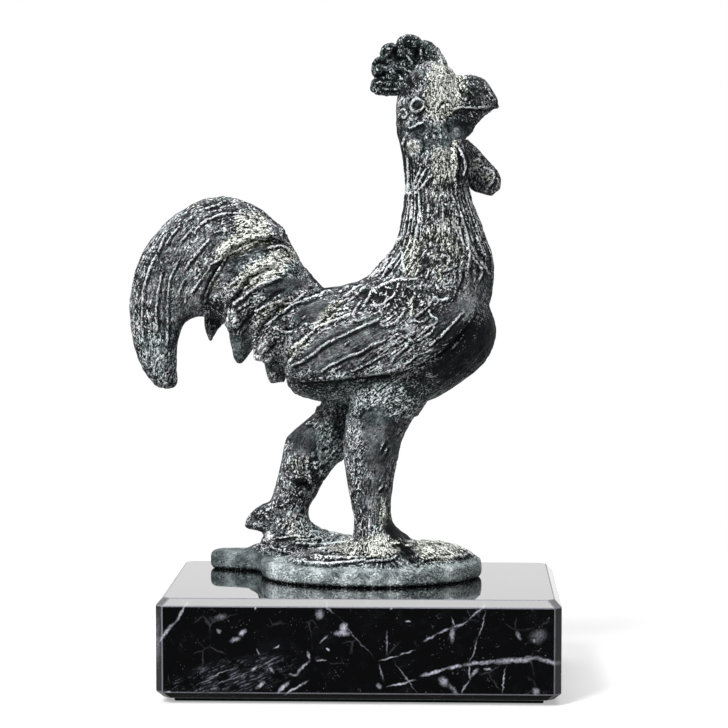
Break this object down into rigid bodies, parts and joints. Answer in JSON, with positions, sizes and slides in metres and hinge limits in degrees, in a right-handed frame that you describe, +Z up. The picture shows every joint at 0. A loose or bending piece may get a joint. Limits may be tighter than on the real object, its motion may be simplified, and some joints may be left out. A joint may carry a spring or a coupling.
{
  "type": "rooster figurine",
  "caption": "Cast bronze rooster striding on a thin ground plate, bolted to a chamfered rectangular stone plinth with a felt underside.",
  "frame": {"origin": "centre of the felt sheet's underside, on the surface that the ornament stands on", "axes": "+Z up; +X the way the rooster faces, along the plinth's length; +Y towards the rooster's left side"},
  "size_m": [0.088, 0.05, 0.1325],
  "materials": {
    "bronze": "dark brown-black bronze under fine pale green and cream verdigris, rough as cast",
    "marble": "black marble with thin white and lavender veins, polished",
    "felt": "dark green felt",
    "steel": "bright zinc plate"
  },
  "bodies": {
    "root": {"body_casting": "bronze", "tail_casting": "bronze", "comb": "bronze", "right_wattle": "bronze", "left_wattle": "bronze", "right_leg": "bronze", "left_leg": "bronze", "ground_plate": "bronze", "marble_plinth": "marble", "felt_sheet": "felt", "right_stud": "steel", "left_stud": "steel", "right_washer": "steel", "left_washer": "steel", "right_nut": "steel", "left_nut": "steel"}
  },
  "joints": []
}
